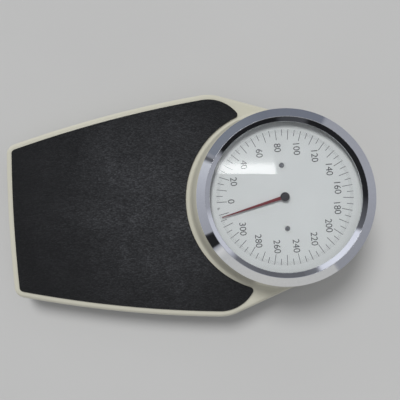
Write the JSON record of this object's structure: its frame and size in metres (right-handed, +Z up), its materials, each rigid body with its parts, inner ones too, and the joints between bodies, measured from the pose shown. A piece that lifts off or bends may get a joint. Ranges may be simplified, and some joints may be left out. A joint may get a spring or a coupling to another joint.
{
  "type": "bathroom scale",
  "caption": "Mechanical bathroom scale: lever platform with a rubber mat, and a large round tilted dial under glass with a red pointer.",
  "frame": {"origin": "centre of the overall box in plan, on the floor under the feet", "axes": "+Z up, +Y from the user's end to the dial, +X to the right of someone who stands at the user's end"},
  "size_m": [0.298, 0.47, 0.0985],
  "materials": {
    "cream_enamel": "glossy cream enamel",
    "black_rubber": "fine leather grain",
    "foot_rubber": "plain",
    "pan_enamel": "satin grey enamel",
    "chrome": "bright plating",
    "clear_glass": "clear",
    "dial_white": "satin white print",
    "pointer_red": "satin red",
    "black_plastic": "glossy black",
    "bright_steel": "bright",
    "brass": "bright",
    "spring_steel": "oiled",
    "plated_steel": "zinc plated"
  },
  "bodies": {
    "base": {"base_pan": "pan_enamel", "near_left_foot": "foot_rubber", "near_right_foot": "foot_rubber", "far_left_foot": "foot_rubber", "far_right_foot": "foot_rubber", "near_left_fulcrum_bracket": "plated_steel", "near_right_fulcrum_bracket": "plated_steel", "far_left_fulcrum_bracket": "plated_steel", "far_right_fulcrum_bracket": "plated_steel", "left_tower_post": "plated_steel", "right_tower_post": "plated_steel", "tower_crossbar": "plated_steel", "tower_nuts": "bright_steel", "crank_bracket": "plated_steel", "crank_pivot_pin": "plated_steel", "bracket_rivets": "bright_steel", "rack_guide": "plated_steel", "bridge_plate": "plated_steel", "bridge_spacers": "plated_steel", "upper_bearing": "brass", "lower_bearing": "brass", "spring_anchor": "plated_steel", "rack_spring": "spring_steel", "dial_bowl": "plated_steel", "dial_pillars": "plated_steel", "pillar_screws": "bright_steel", "dial_plate": "dial_white", "dial_screws": "bright_steel", "glass_seal": "foot_rubber", "dial_glass": "clear_glass", "bezel_ring": "chrome"},
    "platform": {"platform_cover": "cream_enamel", "platform_mat": "black_rubber", "near_left_load_bracket": "plated_steel", "near_right_load_bracket": "plated_steel", "far_left_load_bracket": "plated_steel", "far_right_load_bracket": "plated_steel"},
    "left_long_lever": {"left_long_lever": "plated_steel", "left_long_lever_pins": "plated_steel"},
    "right_long_lever": {"right_long_lever": "plated_steel", "right_long_lever_pins": "plated_steel"},
    "left_short_lever": {"left_short_lever": "plated_steel", "left_short_lever_pins": "plated_steel"},
    "right_short_lever": {"right_short_lever": "plated_steel", "right_short_lever_pins": "plated_steel"},
    "left_link": {"left_lever_link": "plated_steel"},
    "right_link": {"right_lever_link": "plated_steel"},
    "nose_plate": {"nose_plate": "plated_steel"},
    "bell_crank": {"bell_crank": "plated_steel", "crank_drive_pins": "plated_steel"},
    "rack": {"rack": "plated_steel"},
    "pointer": {"pointer": "pointer_red", "pointer_cap": "black_plastic", "pinion": "brass", "pointer_spindle": "brass"},
    "spring_adjuster": {"adjuster_plate": "plated_steel", "left_main_spring": "spring_steel", "right_main_spring": "spring_steel"},
    "zero_adjuster": {"zero_wheel": "black_plastic", "zero_screw": "bright_steel"}
  },
  "joints": [
    {"name": "platform_press", "type": "slide", "parent": "base", "child": "platform", "axis": [0, 0, -1], "range_m": [0, 0.0015], "stiffness_N_per_m": 950000},
    {"name": "left_long_lever_turn", "type": "hinge", "parent": "base", "child": "left_long_lever", "pos_m": [-0.06, -0.203, 0.024], "axis": [-1, 0, 0], "range_deg": [0, 1.79]},
    {"name": "right_long_lever_turn", "type": "hinge", "parent": "base", "child": "right_long_lever", "pos_m": [0.06, -0.203, 0.024], "axis": [-1, 0, 0], "range_deg": [0, 1.79]},
    {"name": "left_short_lever_turn", "type": "hinge", "parent": "base", "child": "left_short_lever", "pos_m": [-0.112, 0.055, 0.024], "axis": [1, 0, 0], "range_deg": [0, 1.79]},
    {"name": "right_short_lever_turn", "type": "hinge", "parent": "base", "child": "right_short_lever", "pos_m": [0.112, 0.055, 0.024], "axis": [1, 0, 0], "range_deg": [0, 1.79]},
    {"name": "left_link_drop", "type": "slide", "parent": "base", "child": "left_link", "axis": [0, 0, -1], "range_m": [0, 0.00403]},
    {"name": "right_link_drop", "type": "slide", "parent": "base", "child": "right_link", "axis": [0, 0, -1], "range_m": [0, 0.00403]},
    {"name": "nose_plate_drop", "type": "slide", "parent": "base", "child": "nose_plate", "axis": [0, 0, -1], "range_m": [0, 0.00834], "deforming": ["left_main_spring", "right_main_spring"]},
    {"name": "crank_turn", "type": "hinge", "parent": "base", "child": "bell_crank", "pos_m": [0.008, 0.09503, 0.01897], "axis": [1, 0, 0], "range_deg": [0, 30.55]},
    {"name": "rack_slide", "type": "slide", "parent": "base", "child": "rack", "axis": [0, -0.9954, -0.0958], "range_m": [0, 0.02133], "deforming": ["rack_spring"]},
    {"name": "pointer_turn", "type": "hinge", "parent": "base", "child": "pointer", "pos_m": [0, 0.1183, 0.084], "axis": [0, 0.0958, -0.9954], "range_deg": [0, 349.09]},
    {"name": "zero_wheel_turn", "type": "hinge", "parent": "base", "child": "zero_adjuster", "pos_m": [0, 0.064, 0.0034], "axis": [0, 0, 1], "range_deg": [-450, 450]},
    {"name": "adjuster_lift", "type": "slide", "parent": "base", "child": "spring_adjuster", "axis": [0, 0, 1], "range_m": [-0.001, 0.001]}
  ],
  "couplings": [
    {"joint": "left_long_lever_turn", "follows": "platform_press", "rad_per_m": 20.833},
    {"joint": "right_long_lever_turn", "follows": "platform_press", "rad_per_m": 20.833},
    {"joint": "left_short_lever_turn", "follows": "platform_press", "rad_per_m": 20.833},
    {"joint": "right_short_lever_turn", "follows": "platform_press", "rad_per_m": 20.833},
    {"joint": "left_link_drop", "follows": "platform_press", "ratio": 2.6875},
    {"joint": "right_link_drop", "follows": "platform_press", "ratio": 2.6875},
    {"joint": "nose_plate_drop", "follows": "platform_press", "ratio": 5.5625},
    {"joint": "crank_turn", "follows": "platform_press", "rad_per_m": 355.41},
    {"joint": "rack_slide", "follows": "platform_press", "ratio": 14.216},
    {"joint": "pointer_turn", "follows": "platform_press", "rad_per_m": 4061.9},
    {"joint": "zero_wheel_turn", "follows": "adjuster_lift", "rad_per_m": -7854}
  ]
}
